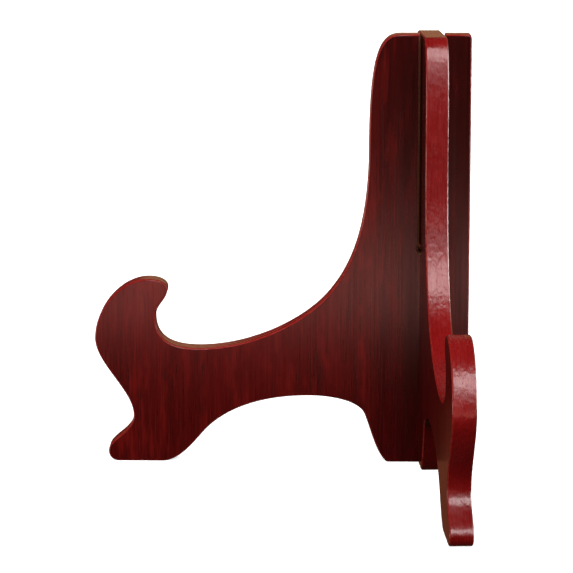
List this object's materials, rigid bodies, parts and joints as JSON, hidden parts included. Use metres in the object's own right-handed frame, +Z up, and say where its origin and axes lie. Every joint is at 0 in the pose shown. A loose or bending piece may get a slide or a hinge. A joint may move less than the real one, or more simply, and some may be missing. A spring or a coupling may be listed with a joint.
{
  "type": "plate display stand",
  "caption": "Wooden plate stand of crossed scroll-cut boards joined by a cross-lap slot, with hooked feet that cradle a plate's rim; one board lifts off to pack flat.",
  "frame": {"origin": "on the vertical axis where the boards cross, at floor level, in the middle of the left leaf's rear foot", "axes": "+Z up; the left leaf's hook points along -X and the right leaf's hook along -Y, turned 3.5 degrees towards +X, so a plate faces (-X, -Y)"},
  "size_m": [0.1734, 0.1736, 0.2],
  "materials": {
    "lacquered_board": "fibreboard with a deep red gloss lacquer on its rounded edges",
    "grain_sheet": "dark mahogany grain with a satin lacquer"
  },
  "bodies": {
    "left_leaf": {"left_leaf_core": "lacquered_board", "left_leaf_inner_sheet": "grain_sheet", "left_leaf_outer_sheet": "grain_sheet"},
    "right_leaf": {"right_leaf_core": "lacquered_board", "right_leaf_inner_sheet": "grain_sheet", "right_leaf_outer_sheet": "grain_sheet"}
  },
  "joints": [
    {"name": "right_leaf_lift", "type": "slide", "parent": "left_leaf", "child": "right_leaf", "axis": [0, 0, 1], "range_m": [0, 0.105]}
  ]
}
